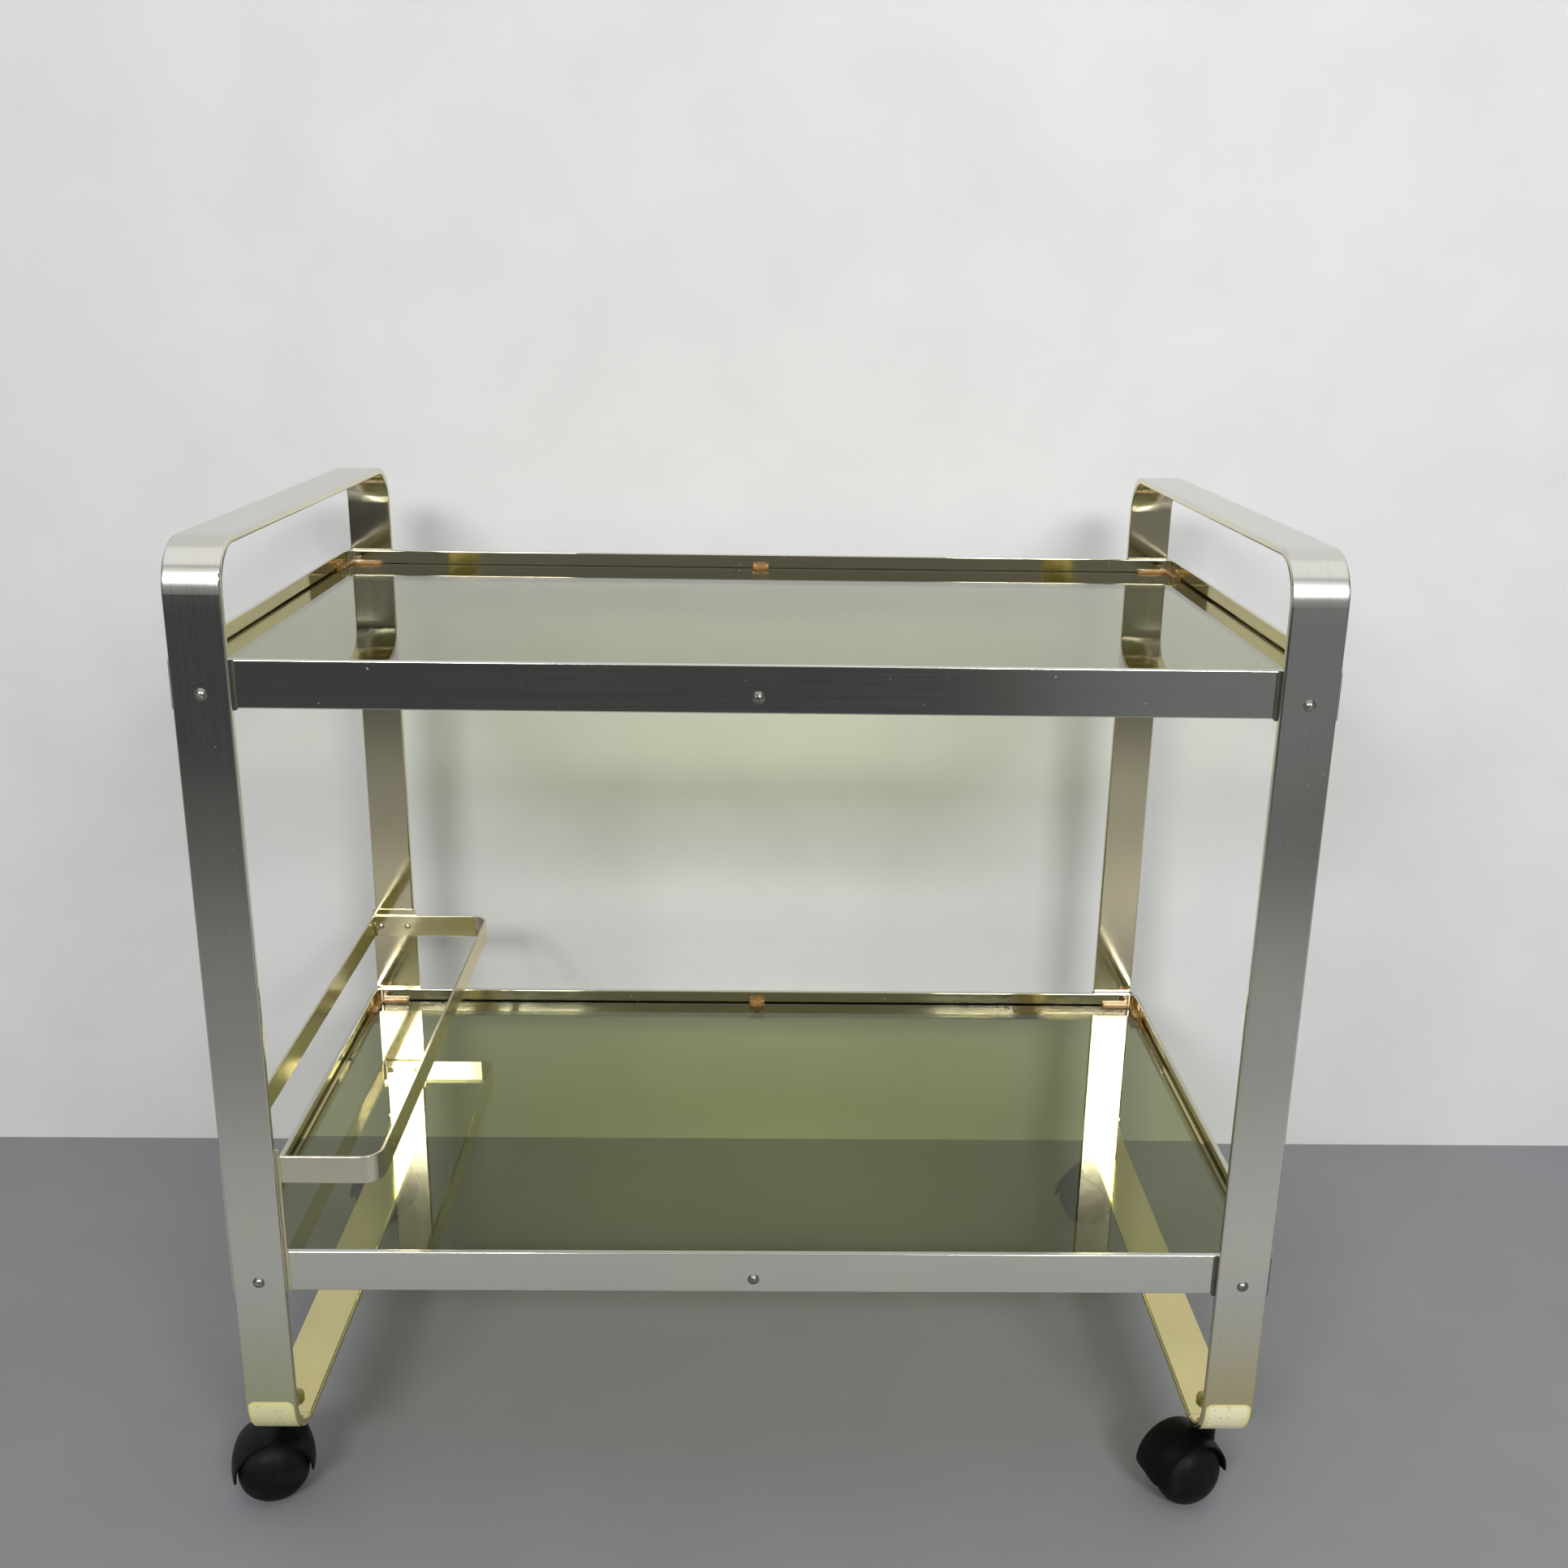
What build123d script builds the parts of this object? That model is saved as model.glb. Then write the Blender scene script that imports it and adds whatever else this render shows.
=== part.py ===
from build123d import *
import os
from math import cos, radians, sin

# Whole cart: the origin is on the floor under its middle, +X to the right, +Y to the rear
overall_width = 700.0  # over the outer edges of the two side frames
overall_depth = 436.0  # over the outer faces of the uprights
side_frame_height = 632.0  # underside of the bottom bar to the top of the handle

# Flat bar of the side frames
strip_width = 35.0
strip_thickness = 5.0
strip_edge_radius = 1.5
handle_bend_radius = 31.0  # outer face of the bar
foot_bend_radius = 35.0  # outer face of the bar
seam_setback = 31.0  # butt joint of the loop, behind the front face
seam_gap = 0.8

# Shelf frames
upper_rail_drop = 71.0  # top of the handle to the top of the rail
lower_rail_rise = 154.0  # underside of the bottom bar to the top of the rail
rail_height = 30.0
rail_thickness = 4.0
rail_corner_radius = 10.0
rail_edge_radius = 0.8
rail_overhang = 5.5  # side rail beyond the outer edge of the side frame

# Plates between uprights and rails: two tall brackets at the left of the lower shelf, short packing elsewhere
plate_thickness = 1.2
plate_overhang = 2.0  # beyond each edge of the upright
plate_corner_radius = 1.5
packing_drop = 1.0  # below the bottom edge of the rail

# Glass shelves
glass_thickness = 5.0
glass_below_rail = 11.0
glass_corner_radius = 6.0
glass_edge_chamfer = 0.6

# Glass clips
clip_wall = 2.0
clip_fit = 0.15  # clip to rail, and clip to the edge of the glass
clip_leg = 28.0
clip_ledge_depth = 12.0  # under the front and rear edges of the glass
clip_side_depth = 7.0  # under its side edges
clip_ledge_height = 8.5
clip_lip_reach = 3.0
clip_lip_thickness = 2.0
clip_lip_gap = 0.2  # above the glass
clip_edge_radius = 0.7
clip_outer_radius = 6.0
clip_inner_radius = 4.0
middle_clip_width = 14.0
middle_lip_reach = 6.0
middle_lip_thickness = 4.0
middle_lip_round = 1.8
middle_tongue_radius = 5.0

# Screws and nuts
screw_diameter = 4.0
screw_hole_clearance = 0.2
screw_below_rail = 20.0
screw_head_diameter = 8.0
screw_head_height = 2.4
screw_slot_width = 1.0
screw_slot_depth = 0.9
screw_tip = 1.0  # beyond the nut
nut_across_flats = 7.0
nut_thickness = 3.2
nut_bore_clearance = 0.05
slot_turns = {"corner": {-1: 25.0, 1: -45.0}, "middle": {0: 70.0}}

# Bottle holder
holder_rise = 72.0  # top of the lower rail to the top of the holder
holder_height = 19.5
holder_thickness = 2.0
holder_width = 105.0
holder_wall_corner_radius = 4.0  # at the uprights
holder_free_corner_radius = 13.0  # over the shelf
holder_edge_radius = 0.4
bracket_lip = 5.5  # bracket plate above the top of the holder
rivet_spacing = 24.0
rivet_diameter = 3.0
rivet_head_diameter = 5.5
rivet_head_height = 1.8
rivet_clearance = 0.05

# Caster stems and their caps
stem_setback = 47.0  # behind the outer face of the upright
stem_diameter = 8.0
stem_hole_clearance = 0.2
stem_flange_diameter = 14.0
stem_flange_thickness = 1.5
stem_depth = 15.0  # below the flange
stem_rise = 3.0  # above the bottom bar
cap_diameter = 15.0
cap_height = 4.8
cap_rim_height = 2.6

# Casters
caster_trail = 17.5
wheel_diameter = 50.0
wheel_inner_face = 4.5  # from the middle of the caster
wheel_tread_width = 4.0  # flat of the tread, between the inner face and the dome
wheel_dome_depth = 17.5
wheel_edge_radius = 1.0
axle_diameter = 6.0
axle_length = 35.0
axle_end_gap = 1.0
axle_boss_diameter = 16.0
running_clearance = 0.05
hood_wall = 3.5  # over the middle of the caster
hood_rim_wall = 1.5  # at its two open sides
hood_width = 34.5
hood_skirt_height = 24.0  # floor to the lower edge of the hood
wheel_to_hood_gap = 1.0
web_thickness = 7.0
neck_diameter = 17.0
neck_rise = 14.0  # above the top of the hood
neck_gap = 0.5  # below the flange of the stem
neck_edge_radius = 1.0
socket_end_gap = 0.5
# Direction from the stem to the wheels, seen from above, in degrees from +X
caster_headings = {"front_left": 197.0, "front_right": 202.0, "rear_left": 160.0, "rear_right": 146.0}

# Places that several pieces share
wheel_radius = wheel_diameter / 2
cavity_radius = wheel_radius + wheel_to_hood_gap
hood_radius = cavity_radius + hood_wall
neck_top = wheel_radius + hood_radius + neck_rise
caster_height = neck_top + neck_gap + stem_flange_thickness
handle_top = caster_height + side_frame_height
half_depth = overall_depth / 2
strip_centre = overall_width / 2 - strip_width / 2
foot_top = caster_height + strip_thickness
upright_inner = half_depth - strip_thickness
plate_width = strip_width + 2 * plate_overhang
rail_half_depth = upright_inner - plate_thickness
rail_half_width = overall_width / 2 + rail_overhang
rail_inner_x = rail_half_width - rail_thickness
rail_inner_y = rail_half_depth - rail_thickness
rail_tops = {"upper": handle_top - upper_rail_drop, "lower": caster_height + lower_rail_rise}
glass_gap = clip_wall + 2 * clip_fit
screw_hole_radius = screw_diameter / 2 + screw_hole_clearance
holder_top = rail_tops["lower"] + holder_rise
holder_outer = strip_centre + plate_width / 2
rivet_level = holder_top - holder_height / 2
rivet_places = [-strip_centre - rivet_spacing / 2, -strip_centre + rivet_spacing / 2]
stem_y = half_depth - stem_setback
stem_places = [(x, y) for x in (-strip_centre, strip_centre) for y in (-stem_y, stem_y)]


def save(builder, node):
    builder.part.label = node
    export_step(builder.part, f"parts/{node}.step")


def along_y(x, z):
    """A plane at the middle of the cart's depth, for a hole from front to rear."""
    return Plane(origin=(x, 0, z), z_dir=(0, 1, 0))


def screw_level(level):
    return rail_tops[level] - screw_below_rail


os.makedirs("parts", exist_ok=True)

# Side frames: one flat bar each, bent into a closed loop of two uprights, handle and bottom bar
for side, sign in {"left": -1, "right": 1}.items():
    with BuildPart() as side_frame:
        with BuildSketch(Plane.YZ.offset(sign * strip_centre)) as loop:
            with Locations((0, caster_height + side_frame_height / 2)):
                Rectangle(overall_depth, side_frame_height)
            fillet(loop.vertices().group_by(Axis.Y)[-1], handle_bend_radius)
            fillet(loop.vertices().group_by(Axis.Y)[0], foot_bend_radius)
            offset(amount=-strip_thickness, mode=Mode.SUBTRACT)
        extrude(amount=strip_width / 2, both=True)
        fillet(side_frame.faces().filter_by(Axis.X).edges(), strip_edge_radius)
        with Locations((sign * strip_centre, seam_setback - half_depth, caster_height)):
            Box(2 * strip_width, seam_gap, 3 * strip_thickness, mode=Mode.SUBTRACT)
        with Locations(*[along_y(sign * strip_centre, screw_level(level)) for level in rail_tops]):
            Hole(screw_hole_radius)
        with Locations(*[(sign * strip_centre, y, foot_top) for y in (-stem_y, stem_y)]):
            Hole(stem_diameter / 2 + stem_hole_clearance, depth=strip_thickness)
    save(side_frame, f"{side}_side_frame")

# The two shelves: a rail frame, a sheet of glass, and the clips that hold the glass to the rails
for level, rail_top in rail_tops.items():
    glass_top = rail_top - glass_below_rail
    glass_bottom = glass_top - glass_thickness

    with BuildPart() as shelf_frame:
        with BuildSketch(Plane.XY.offset(rail_top - rail_height)) as ring:
            Rectangle(2 * rail_half_width, 2 * rail_half_depth)
            fillet(ring.vertices(), rail_corner_radius)
            offset(amount=-rail_thickness, mode=Mode.SUBTRACT)
        extrude(amount=rail_height)
        fillet(shelf_frame.faces().filter_by(Axis.Z).edges(), rail_edge_radius)
        with Locations(*[along_y(x, screw_level(level)) for x in (-strip_centre, 0, strip_centre)]):
            Hole(screw_hole_radius)
    save(shelf_frame, f"{level}_shelf_frame")

    with BuildPart() as glass:
        with BuildSketch(Plane.XY.offset(glass_bottom)) as pane:
            Rectangle(2 * (rail_inner_x - glass_gap), 2 * (rail_inner_y - glass_gap))
            fillet(pane.vertices(), glass_corner_radius)
        extrude(amount=glass_thickness)
        chamfer(glass.faces().filter_by(Axis.Z).edges(), glass_edge_chamfer)
    save(glass, f"{level}_glass_shelf")

    # Each clip is a ledge under the glass, a wall behind its edge and a lip over it
    wall_height = glass_thickness + clip_lip_gap
    lip_bottom = glass_top + clip_lip_gap
    lip_depth = clip_wall + clip_fit + clip_lip_reach
    diagonal = Axis((0, 0, 0), (1, 1, 0))
    with BuildPart() as corner_clips:
        for bottom, height, depth, side_depth in (
            (glass_bottom - clip_ledge_height, clip_ledge_height, clip_ledge_depth, clip_side_depth),
            (glass_bottom, wall_height, clip_wall, clip_wall),
            (lip_bottom, clip_lip_thickness, lip_depth, lip_depth),
        ):
            with BuildSketch(Plane.XY.offset(bottom)) as corner:
                with Locations((rail_inner_x - clip_fit, rail_inner_y - clip_fit)):
                    Rectangle(clip_leg, depth, align=(Align.MAX, Align.MAX))
                    Rectangle(side_depth, clip_leg, align=(Align.MAX, Align.MAX))
                fillet(corner.vertices().sort_by(diagonal)[-2], clip_inner_radius)
                fillet(corner.vertices().sort_by(diagonal)[-1], clip_outer_radius)
            extrude(amount=height)
        fillet(corner_clips.faces().sort_by(Axis.Z)[-1].edges(), clip_edge_radius)
        mirror(about=Plane.YZ)
        mirror(about=Plane.XZ)
        with Locations(*[along_y(x, screw_level(level)) for x in (-strip_centre, strip_centre)]):
            Hole(screw_hole_radius)
    save(corner_clips, f"{level}_corner_clips")

    middle_lip_depth = clip_wall + clip_fit + middle_lip_reach
    with BuildPart() as middle_clips:
        for bottom, height, depth in (
            (glass_bottom - clip_ledge_height, clip_ledge_height, clip_ledge_depth),
            (glass_bottom, wall_height, clip_wall),
        ):
            with BuildSketch(Plane.XY.offset(bottom)):
                with Locations((0, rail_inner_y - clip_fit)):
                    Rectangle(middle_clip_width, depth, align=(Align.CENTER, Align.MAX))
            extrude(amount=height)
        with BuildSketch(Plane.XY.offset(lip_bottom)) as tongue:
            with Locations((0, rail_inner_y - clip_fit)):
                Rectangle(middle_clip_width, middle_lip_depth, align=(Align.CENTER, Align.MAX))
            fillet(tongue.vertices().group_by(Axis.Y)[0], middle_tongue_radius)
        extrude(amount=middle_lip_thickness)
        fillet(middle_clips.faces().sort_by(Axis.Z)[-1].edges(), middle_lip_round)
        mirror(about=Plane.XZ)
        with Locations(along_y(0, screw_level(level))):
            Hole(screw_hole_radius)
    save(middle_clips, f"{level}_middle_clips")

# Packing plates: they fill the gap between upright and rail where no bracket plate does
for level, signs in {"upper": (-1, 1), "lower": (1,)}.items():
    packing_height = rail_height + packing_drop
    with BuildPart() as packing:
        with BuildSketch(Plane.XZ.offset(rail_half_depth)) as plates:
            with Locations(*[(sign * strip_centre, rail_tops[level] - packing_height / 2) for sign in signs]):
                Rectangle(plate_width, packing_height)
            fillet(plates.vertices(), plate_corner_radius)
            with Locations(*[(sign * strip_centre, screw_level(level)) for sign in signs]):
                Circle(screw_hole_radius, mode=Mode.SUBTRACT)
        extrude(amount=plate_thickness)
        mirror(about=Plane.XZ)
    save(packing, f"{level}_packing_plates")

# Screws with domed slotted heads, each with a nut behind the clip
ledge_stack = rail_thickness + clip_fit + clip_ledge_depth
screw_seats = {
    "corner": ((-1, 1), half_depth, strip_thickness + plate_thickness + ledge_stack),
    "middle": ((0,), rail_half_depth, ledge_stack),
}
for level in rail_tops:
    for kind, (columns, seat, grip) in screw_seats.items():
        height = screw_level(level)
        with BuildPart() as screws:
            for column in columns:
                foot = (column * strip_centre, -seat, height)
                with BuildSketch(Plane(origin=foot, x_dir=(1, 0, 0), z_dir=(0, 0, -1))):
                    with BuildLine():
                        TangentArc((0, screw_head_height), (screw_head_diameter / 2, 0), tangent=(1, 0))
                        Polyline(
                            (screw_head_diameter / 2, 0),
                            (screw_diameter / 2, 0),
                            (screw_diameter / 2, -grip - nut_thickness - screw_tip),
                            (0, -grip - nut_thickness - screw_tip),
                            (0, screw_head_height),
                        )
                    make_face()
                revolve(axis=Axis(foot, (0, -1, 0)))
                slot_place = (column * strip_centre, -seat - screw_head_height, height)
                with Locations(Location(slot_place, (0, slot_turns[kind][column], 0))):
                    Box(2 * screw_head_diameter, 2 * screw_slot_depth, screw_slot_width, mode=Mode.SUBTRACT)
            mirror(about=Plane.XZ)
        save(screws, f"{level}_{kind}_screws")

        with BuildPart() as nuts:
            with BuildSketch(Plane.XZ.offset(seat - grip - nut_thickness)):
                with Locations(*[(column * strip_centre, height) for column in columns]):
                    RegularPolygon(nut_across_flats / 2, 6, major_radius=False)
                    Circle(screw_diameter / 2 + nut_bore_clearance, mode=Mode.SUBTRACT)
            extrude(amount=nut_thickness)
            mirror(about=Plane.XZ)
        save(nuts, f"{level}_{kind}_nuts")

# Bracket plates: they stand up behind the two left uprights from the lower rail and carry the holder
bracket_foot = rail_tops["lower"] - rail_height
bracket_height = holder_top + bracket_lip - bracket_foot
for end, sign in {"front": -1, "rear": 1}.items():
    with BuildPart() as bracket:
        with BuildSketch(Plane.XZ.offset(-sign * rail_half_depth)) as plate:
            with Locations((-strip_centre, bracket_foot + bracket_height / 2)):
                Rectangle(plate_width, bracket_height)
            fillet(plate.vertices(), plate_corner_radius)
            with Locations((-strip_centre, screw_level("lower"))):
                Circle(screw_hole_radius, mode=Mode.SUBTRACT)
            with Locations(*[(x, rivet_level) for x in rivet_places]):
                Circle(rivet_diameter / 2 + rivet_clearance, mode=Mode.SUBTRACT)
        extrude(amount=-sign * plate_thickness)
    save(bracket, f"{end}_holder_bracket")

# Bottle holder: a narrow strip bent into a loop, its two short sides riveted to the bracket plates
with BuildPart() as bottle_holder:
    with BuildSketch(Plane.XY.offset(holder_top - holder_height)) as outline:
        with Locations((-holder_outer, 0)):
            Rectangle(holder_width, 2 * rail_half_depth, align=(Align.MIN, Align.CENTER))
        fillet(outline.vertices().group_by(Axis.X)[-1], holder_free_corner_radius)
        fillet(outline.vertices().group_by(Axis.X)[0], holder_wall_corner_radius)
        offset(amount=-holder_thickness, mode=Mode.SUBTRACT)
    extrude(amount=holder_height)
    fillet(bottle_holder.faces().filter_by(Axis.Z).edges(), holder_edge_radius)
    with Locations(*[along_y(x, rivet_level) for x in rivet_places]):
        Hole(rivet_diameter / 2 + rivet_clearance)
save(bottle_holder, "bottle_holder")

with BuildPart() as rivets:
    rivet_seat = rail_half_depth - holder_thickness
    for x in rivet_places:
        with BuildSketch(Plane(origin=(x, rivet_seat, rivet_level), x_dir=(1, 0, 0), z_dir=(0, 0, -1))):
            with BuildLine():
                TangentArc((0, rivet_head_height), (rivet_head_diameter / 2, 0), tangent=(1, 0))
                Polyline(
                    (rivet_head_diameter / 2, 0),
                    (rivet_diameter / 2, 0),
                    (rivet_diameter / 2, -holder_thickness - plate_thickness),
                    (0, -holder_thickness - plate_thickness),
                    (0, rivet_head_height),
                )
            make_face()
        revolve(axis=Axis((x, rivet_seat, rivet_level), (0, 1, 0)))
    mirror(about=Plane.XZ)
save(rivets, "holder_rivets")

# Caster stems: steel pins through the bottom bars, each with a flange below and a cap nut above
stem_foot = caster_height - stem_flange_thickness - stem_depth
with BuildPart() as stems:
    for bottom, height, diameter in (
        (stem_foot, foot_top + stem_rise - stem_foot, stem_diameter),
        (caster_height - stem_flange_thickness, stem_flange_thickness, stem_flange_diameter),
    ):
        with BuildSketch(Plane.XY.offset(bottom)):
            with Locations(*stem_places):
                Circle(diameter / 2)
        extrude(amount=height)
save(stems, "caster_stems")

with BuildPart() as caps:
    for x, y in stem_places:
        with BuildSketch(Plane(origin=(x, y, foot_top), x_dir=(1, 0, 0), z_dir=(0, -1, 0))):
            with BuildLine():
                TangentArc((0, cap_height), (cap_diameter / 2, cap_rim_height), tangent=(1, 0))
                Polyline(
                    (cap_diameter / 2, cap_rim_height),
                    (cap_diameter / 2, 0),
                    (stem_diameter / 2 + running_clearance, 0),
                    (stem_diameter / 2 + running_clearance, stem_rise + running_clearance),
                    (0, stem_rise + running_clearance),
                    (0, cap_height),
                )
            make_face()
        revolve(axis=Axis((x, y, foot_top), (0, 0, 1)))
save(caps, "caster_stem_caps")

# Casters: a barrel-shaped hood that swivels on the stem, an axle across its web and a domed wheel on each side
socket_depth = stem_depth - neck_gap + socket_end_gap
hood_rim_radius = cavity_radius + hood_rim_wall
dome_start = wheel_inner_face + wheel_tread_width
bore_radius = axle_diameter / 2 + running_clearance
bore_depth = axle_length / 2 + axle_end_gap - wheel_inner_face
outwards = (Align.CENTER, Align.CENTER, Align.MIN)
for corner, heading in caster_headings.items():
    end, side = corner.split("_")
    stem = Vector(
        strip_centre if side == "right" else -strip_centre,
        stem_y if end == "rear" else -stem_y,
        0,
    )
    trail = Vector(cos(radians(heading)), sin(radians(heading)), 0)
    across = Vector(0, 0, 1).cross(trail)
    axle_centre = stem + trail * caster_trail + Vector(0, 0, wheel_radius)
    axle_line = Axis(axle_centre, across)
    wheel_plane = Plane(origin=axle_centre, x_dir=trail, z_dir=across)

    with BuildPart() as hood:
        with BuildSketch(Plane(origin=axle_centre, x_dir=across, z_dir=trail)):
            with BuildLine():
                ThreePointArc((-hood_width / 2, hood_rim_radius), (0, hood_radius), (hood_width / 2, hood_rim_radius))
                Polyline(
                    (hood_width / 2, hood_rim_radius),
                    (hood_width / 2, 0),
                    (-hood_width / 2, 0),
                    (-hood_width / 2, hood_rim_radius),
                )
            make_face()
        revolve(axis=axle_line)
        with BuildSketch(Plane(origin=stem + Vector(0, 0, wheel_radius), z_dir=(0, 0, 1))):
            Circle(neck_diameter / 2)
        extrude(amount=neck_top - wheel_radius)
        fillet(hood.faces().sort_by(Axis.Z)[-1].edges(), neck_edge_radius)
        for hand in (-1, 1):
            web_face = axle_centre + across * (hand * web_thickness / 2)
            with Locations(Plane(origin=web_face, x_dir=trail, z_dir=across * hand)):
                Cylinder(cavity_radius, hood_width, align=outwards, mode=Mode.SUBTRACT)
        split(bisect_by=Plane.XY.offset(hood_skirt_height), keep=Keep.TOP)
        with BuildSketch(wheel_plane):
            Circle(axle_boss_diameter / 2)
        extrude(amount=web_thickness / 2, both=True)
        with Locations(stem + Vector(0, 0, neck_top)):
            Hole(stem_diameter / 2 + running_clearance, depth=socket_depth)
        with Locations(wheel_plane):
            Hole(bore_radius)
    save(hood, f"{corner}_caster_hood")

    with BuildPart() as axle:
        with BuildSketch(wheel_plane):
            Circle(axle_diameter / 2)
        extrude(amount=axle_length / 2, both=True)
    save(axle, f"{corner}_caster_axle")

    for hand_name, hand in {"left": 1, "right": -1}.items():
        with BuildPart() as wheel:
            with BuildSketch(Plane(origin=axle_centre, x_dir=across * hand, z_dir=trail)):
                with BuildLine():
                    EllipticalCenterArc((dome_start, 0), wheel_dome_depth, wheel_radius, start_angle=0, arc_size=90)
                    Polyline(
                        (dome_start, wheel_radius),
                        (wheel_inner_face, wheel_radius),
                        (wheel_inner_face, 0),
                        (dome_start + wheel_dome_depth, 0),
                    )
                make_face()
            revolve(axis=axle_line)
            rims = wheel.edges().filter_by(GeomType.CIRCLE)
            fillet(rims.sort_by(Axis(axle_centre, across * hand))[0], wheel_edge_radius)
            inner_face = axle_centre + across * (hand * wheel_inner_face)
            with Locations(Plane(origin=inner_face, x_dir=trail, z_dir=across * -hand)):
                Hole(bore_radius, depth=bore_depth)
        save(wheel, f"{corner}_{hand_name}_wheel")
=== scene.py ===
import math
import bpy
from mathutils import Matrix, Quaternion, Vector


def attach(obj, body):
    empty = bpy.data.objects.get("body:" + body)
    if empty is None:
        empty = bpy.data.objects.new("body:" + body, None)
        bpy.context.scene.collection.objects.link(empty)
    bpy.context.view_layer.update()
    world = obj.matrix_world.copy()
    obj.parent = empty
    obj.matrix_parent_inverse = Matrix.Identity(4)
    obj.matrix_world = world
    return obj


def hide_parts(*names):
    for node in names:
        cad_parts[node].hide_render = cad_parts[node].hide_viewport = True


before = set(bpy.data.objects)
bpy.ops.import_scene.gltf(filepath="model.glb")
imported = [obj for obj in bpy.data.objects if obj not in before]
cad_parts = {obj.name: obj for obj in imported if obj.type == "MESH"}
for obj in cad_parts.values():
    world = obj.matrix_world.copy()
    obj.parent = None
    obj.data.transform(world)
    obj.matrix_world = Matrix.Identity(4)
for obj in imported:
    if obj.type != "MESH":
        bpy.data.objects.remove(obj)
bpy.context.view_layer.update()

# Side frames: two loops of flat aluminium bar, 35 by 5 mm, each bent at the handle and at the feet.
# The bar is satin brushed along its length and gold anodised. Light has bleached the outer faces to a neutral
# champagne, and the skin has crazed to a pale matt patch on the outside of the two lower bends.
kept_gold = (0.88, 0.73, 0.37, 1)
olive_gold = (0.80, 0.83, 0.50, 1)
faded_champagne = (0.71, 0.70, 0.65, 1)
crazed_left = (0.77, 0.75, 0.41, 1)
crazed_right = (0.98, 0.93, 0.62, 1)
crazed_rim = (0.84, 0.73, 0.26, 1)
crazed_speck = (0.34, 0.32, 0.22, 1)
bar_middle = 0.3325
bar_grain = (1500, 7, 7)
bar_gloss = 0.085
bleached_roughness = 0.15
bleach_heights = (0.081, 0.206)
olive_heights = (0.16, 0.22)
handle_heights = (0.655, 0.68)
handle_wear = 0.06
foot_patch_top = 0.109
foot_patch_half_width = 0.0158
foot_patch_rounding = 0.005
crazed_roughness = 0.36
crazed_metal_loss = 0.95


def new_finish(name, **constants):
    """A material with one principled shader, and the constants set on its sockets."""
    material = bpy.data.materials.new(name)
    material.use_nodes = True
    tree = material.node_tree
    tree.nodes.clear()
    output = tree.nodes.new("ShaderNodeOutputMaterial")
    shader = tree.nodes.new("ShaderNodeBsdfPrincipled")
    tree.links.new(shader.outputs["BSDF"], output.inputs["Surface"])
    for socket, value in constants.items():
        shader.inputs[socket.replace("_", " ")].default_value = value
    return material, tree, shader


def add_node(tree, kind, settings=None, **inputs):
    """Adds a node and fills or links its inputs, by name or, as i0 and so on, by number."""
    node = tree.nodes.new(kind)
    for setting, value in (settings or {}).items():
        setattr(node, setting, value)
    for socket, value in inputs.items():
        numbered = socket[0] == "i" and socket[1:].isdigit()
        target = node.inputs[int(socket[1:])] if numbered else node.inputs[socket.replace("_", " ")]
        if isinstance(value, bpy.types.NodeSocket):
            tree.links.new(value, target)
        else:
            target.default_value = value
    return node


def maths(tree, operation, first, second=0.0):
    return add_node(tree, "ShaderNodeMath", {"operation": operation}, i0=first, i1=second).outputs[0]


def ramp_between(tree, value, low, high, to_low=0.0, to_high=1.0):
    node = add_node(
        tree, "ShaderNodeMapRange", {"interpolation_type": "SMOOTHSTEP"},
        Value=value, From_Min=low, From_Max=high, To_Min=to_low, To_Max=to_high,
    )
    return node.outputs["Result"]


def mix_colours(tree, factor, first, second, blend="MIX"):
    settings = {"data_type": "RGBA", "blend_type": blend}
    return add_node(tree, "ShaderNodeMix", settings, i0=factor, i6=first, i7=second).outputs[2]


def noise(tree, place, scale, detail=3.0):
    return add_node(tree, "ShaderNodeTexNoise", Vector=place, Scale=scale, Detail=detail).outputs["Fac"]


def brush_lines(tree, place, grain):
    """Fine lines left by the brushing belt: short across the bar, long along it."""
    stretched = add_node(tree, "ShaderNodeMapping", Vector=place, Scale=grain)
    return noise(tree, stretched.outputs[0], 1.0)


def gold_colour(tree, spot, place, facing):
    """Gold, gone olive on the upright faces low on the left frame and in faint clouds elsewhere."""
    upright = ramp_between(tree, maths(tree, "ABSOLUTE", facing["Y"]), 0.3, 0.8, 0.15, 1.0)
    leftward = ramp_between(tree, place["X"], -0.1, 0.1, 1.0, 0.2)
    low = ramp_between(tree, place["Z"], *olive_heights, 1.0, 0.1)
    clouds = ramp_between(tree, noise(tree, spot, 6.0), 0.4, 0.65, 0.0, 0.25)
    olive = maths(tree, "MULTIPLY", maths(tree, "MULTIPLY", upright, leftward), low)
    return mix_colours(tree, maths(tree, "ADD", olive, clouds), kept_gold, olive_gold)


def crazed_colour(tree, spot, place, patch, reach):
    """Pale crazed skin, paler on the right frame, with dark specks and a yellow rim."""
    skin = mix_colours(tree, ramp_between(tree, place["X"], -0.05, 0.05), crazed_left, crazed_right)
    specks = ramp_between(tree, noise(tree, spot, 520.0, 4.0), 0.62, 0.70)
    skin = mix_colours(tree, specks, skin, crazed_speck)
    rim = ramp_between(tree, reach, 0.0012, 0.0045, 0.0, 0.8)
    rim = maths(tree, "MULTIPLY", ramp_between(tree, patch, 0.0, 0.9), rim)
    return mix_colours(tree, rim, skin, crazed_rim)


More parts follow.
